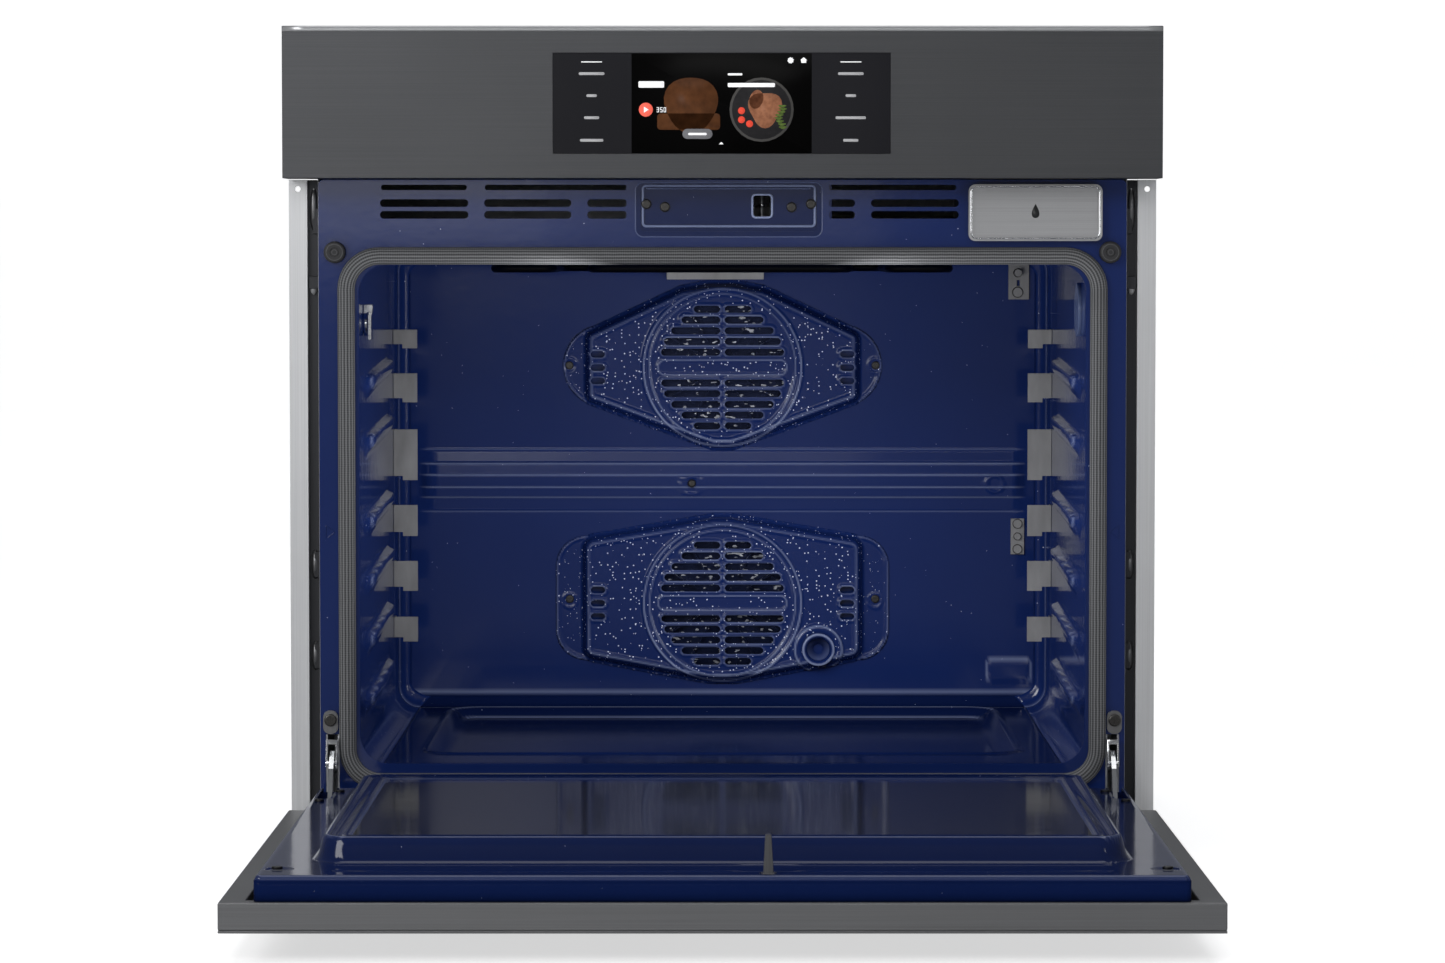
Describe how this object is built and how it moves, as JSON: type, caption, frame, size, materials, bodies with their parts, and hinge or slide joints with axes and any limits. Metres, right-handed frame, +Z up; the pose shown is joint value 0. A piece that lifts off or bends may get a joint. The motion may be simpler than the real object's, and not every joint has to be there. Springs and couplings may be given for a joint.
{
  "type": "wall oven",
  "caption": "Built-in single wall oven with a control panel on top, a bottom-hinged door lying open, an enamelled cavity with fans, and a steam water drawer.",
  "frame": {"origin": "on the underside of the base pan, midway between the sides, in the plane of the cabinet face", "axes": "+X to the right seen from the room, +Y into the cabinet, +Z up"},
  "size_m": [0.7556, 1.1925, 0.727],
  "materials": {
    "galvanised": "zinc-coated sheet with faint spangle",
    "blue_enamel": "glossy navy porcelain enamel with fine pale specks",
    "speckled_enamel": "glossy navy porcelain enamel, densely speckled",
    "glass_wool": "matte glass wool blanket",
    "woven_gasket": "woven glass fibre sleeve",
    "dark_steel": "dark steel brushed along its width",
    "display_glass": "black glossy touch glass",
    "black_plastic": "matte moulded plastic",
    "grey_plastic": "translucent grey moulded plastic",
    "circuit_board": "green solder mask",
    "bright_steel": "brushed stainless steel",
    "dark_channel": "dark satin coated steel",
    "black_rubber": "moulded rubber",
    "chrome": "polished plated steel",
    "grey_cover": "satin grey plate",
    "grey_steel": "bead-blasted steel blade",
    "cast_aluminium": "as-cast aluminium",
    "silicone_tube": "milky silicone",
    "motor_steel": "grey painted can",
    "element_sheath": "heat-darkened alloy sheath",
    "clear_glass": "ribbed heat-proof glass",
    "dark_glass": "tinted heat-reflective glass",
    "black_screws": "black oxide screws"
  },
  "bodies": {
    "oven": {"bake_element": "element_sheath", "base_pan": "galvanised", "blower_housing": "galvanised", "blower_motor": "motor_steel", "body_screws": "chrome", "broil_bracket": "bright_steel", "broil_element": "element_sheath", "cavity_back": "blue_enamel", "cavity_ceiling": "blue_enamel", "cavity_floor": "blue_enamel", "cavity_sides": "blue_enamel", "control_boards": "circuit_board", "control_panel": "dark_steel", "display_glass": "display_glass", "display_module": "black_plastic", "door_bumpers": "black_rubber", "fan_motors": "motor_steel", "front_frame": "blue_enamel", "gasket": "woven_gasket", "hinge_arms": "chrome", "hinge_covers": "grey_cover", "hinge_receivers": "galvanised", "insulation": "glass_wool", "junction_box": "galvanised", "lamp_lens": "clear_glass", "latch_motor": "galvanised", "latch_plate": "blue_enamel", "lower_fan_cover": "speckled_enamel", "outer_casing": "galvanised", "oven_lamp": "galvanised", "probe_jack": "chrome", "rack_tabs": "bright_steel", "rear_cover": "galvanised", "reservoir_housing": "grey_plastic", "ring_heaters": "element_sheath", "side_channels": "dark_channel", "side_trims": "bright_steel", "steam_generator": "cast_aluminium", "steam_nozzle": "blue_enamel", "temperature_sensors": "bright_steel", "upper_fan_cover": "speckled_enamel", "water_pump": "grey_plastic", "water_tubes": "silicone_tube"},
    "latch_hook": {"latch_hook": "chrome"},
    "upper_fan": {"upper_fan": "bright_steel"},
    "lower_fan": {"lower_fan": "bright_steel"},
    "blower_wheel": {"blower_wheel": "galvanised"},
    "probe_cap": {"probe_cap": "chrome"},
    "lock_left": {"hinge_lock_left": "chrome"},
    "lock_right": {"hinge_lock_right": "chrome"},
    "reservoir": {"reservoir_front": "bright_steel", "reservoir_tank": "grey_plastic"},
    "door": {"door_frame": "dark_steel", "door_panel": "dark_steel", "door_liner": "blue_enamel", "door_inner_glass": "dark_glass", "door_middle_glass": "dark_glass", "latch_strike": "grey_steel", "hinge_channels": "galvanised", "door_screws": "black_screws"}
  },
  "joints": [
    {"name": "door_hinge", "type": "hinge", "parent": "oven", "child": "door", "pos_m": [0, -0.048, 0.039], "axis": [-1, 0, 0], "range_deg": [0, 90]},
    {"name": "lock_left_pivot", "type": "hinge", "parent": "oven", "child": "lock_left", "pos_m": [-0.341, -0.022, 0.088], "axis": [-1, 0, 0], "range_deg": [-95, 0]},
    {"name": "lock_right_pivot", "type": "hinge", "parent": "oven", "child": "lock_right", "pos_m": [0.341, -0.022, 0.088], "axis": [-1, 0, 0], "range_deg": [-95, 0]},
    {"name": "hook_pivot", "type": "hinge", "parent": "oven", "child": "latch_hook", "pos_m": [0.0345, 0.03, 0.574], "axis": [0, 0, 1], "range_deg": [0, 50]},
    {"name": "reservoir_slide", "type": "slide", "parent": "oven", "child": "reservoir", "axis": [0, 1, 0], "range_m": [-0.2, 0]},
    {"name": "upper_fan_spin", "type": "hinge", "parent": "oven", "child": "upper_fan", "pos_m": [0, 0.52, 0.4196], "axis": [0, 1, 0], "continuous": true},
    {"name": "lower_fan_spin", "type": "hinge", "parent": "oven", "child": "lower_fan", "pos_m": [0, 0.52, 0.1885], "axis": [0, 1, 0], "continuous": true},
    {"name": "blower_spin", "type": "hinge", "parent": "oven", "child": "blower_wheel", "pos_m": [0.06, 0.43, 0.6362], "axis": [0, 0, 1], "continuous": true},
    {"name": "probe_cap_hinge", "type": "hinge", "parent": "oven", "child": "probe_cap", "pos_m": [-0.311, 0.05, 0.484], "axis": [0, -1, 0], "range_deg": [0, 100]}
  ]
}
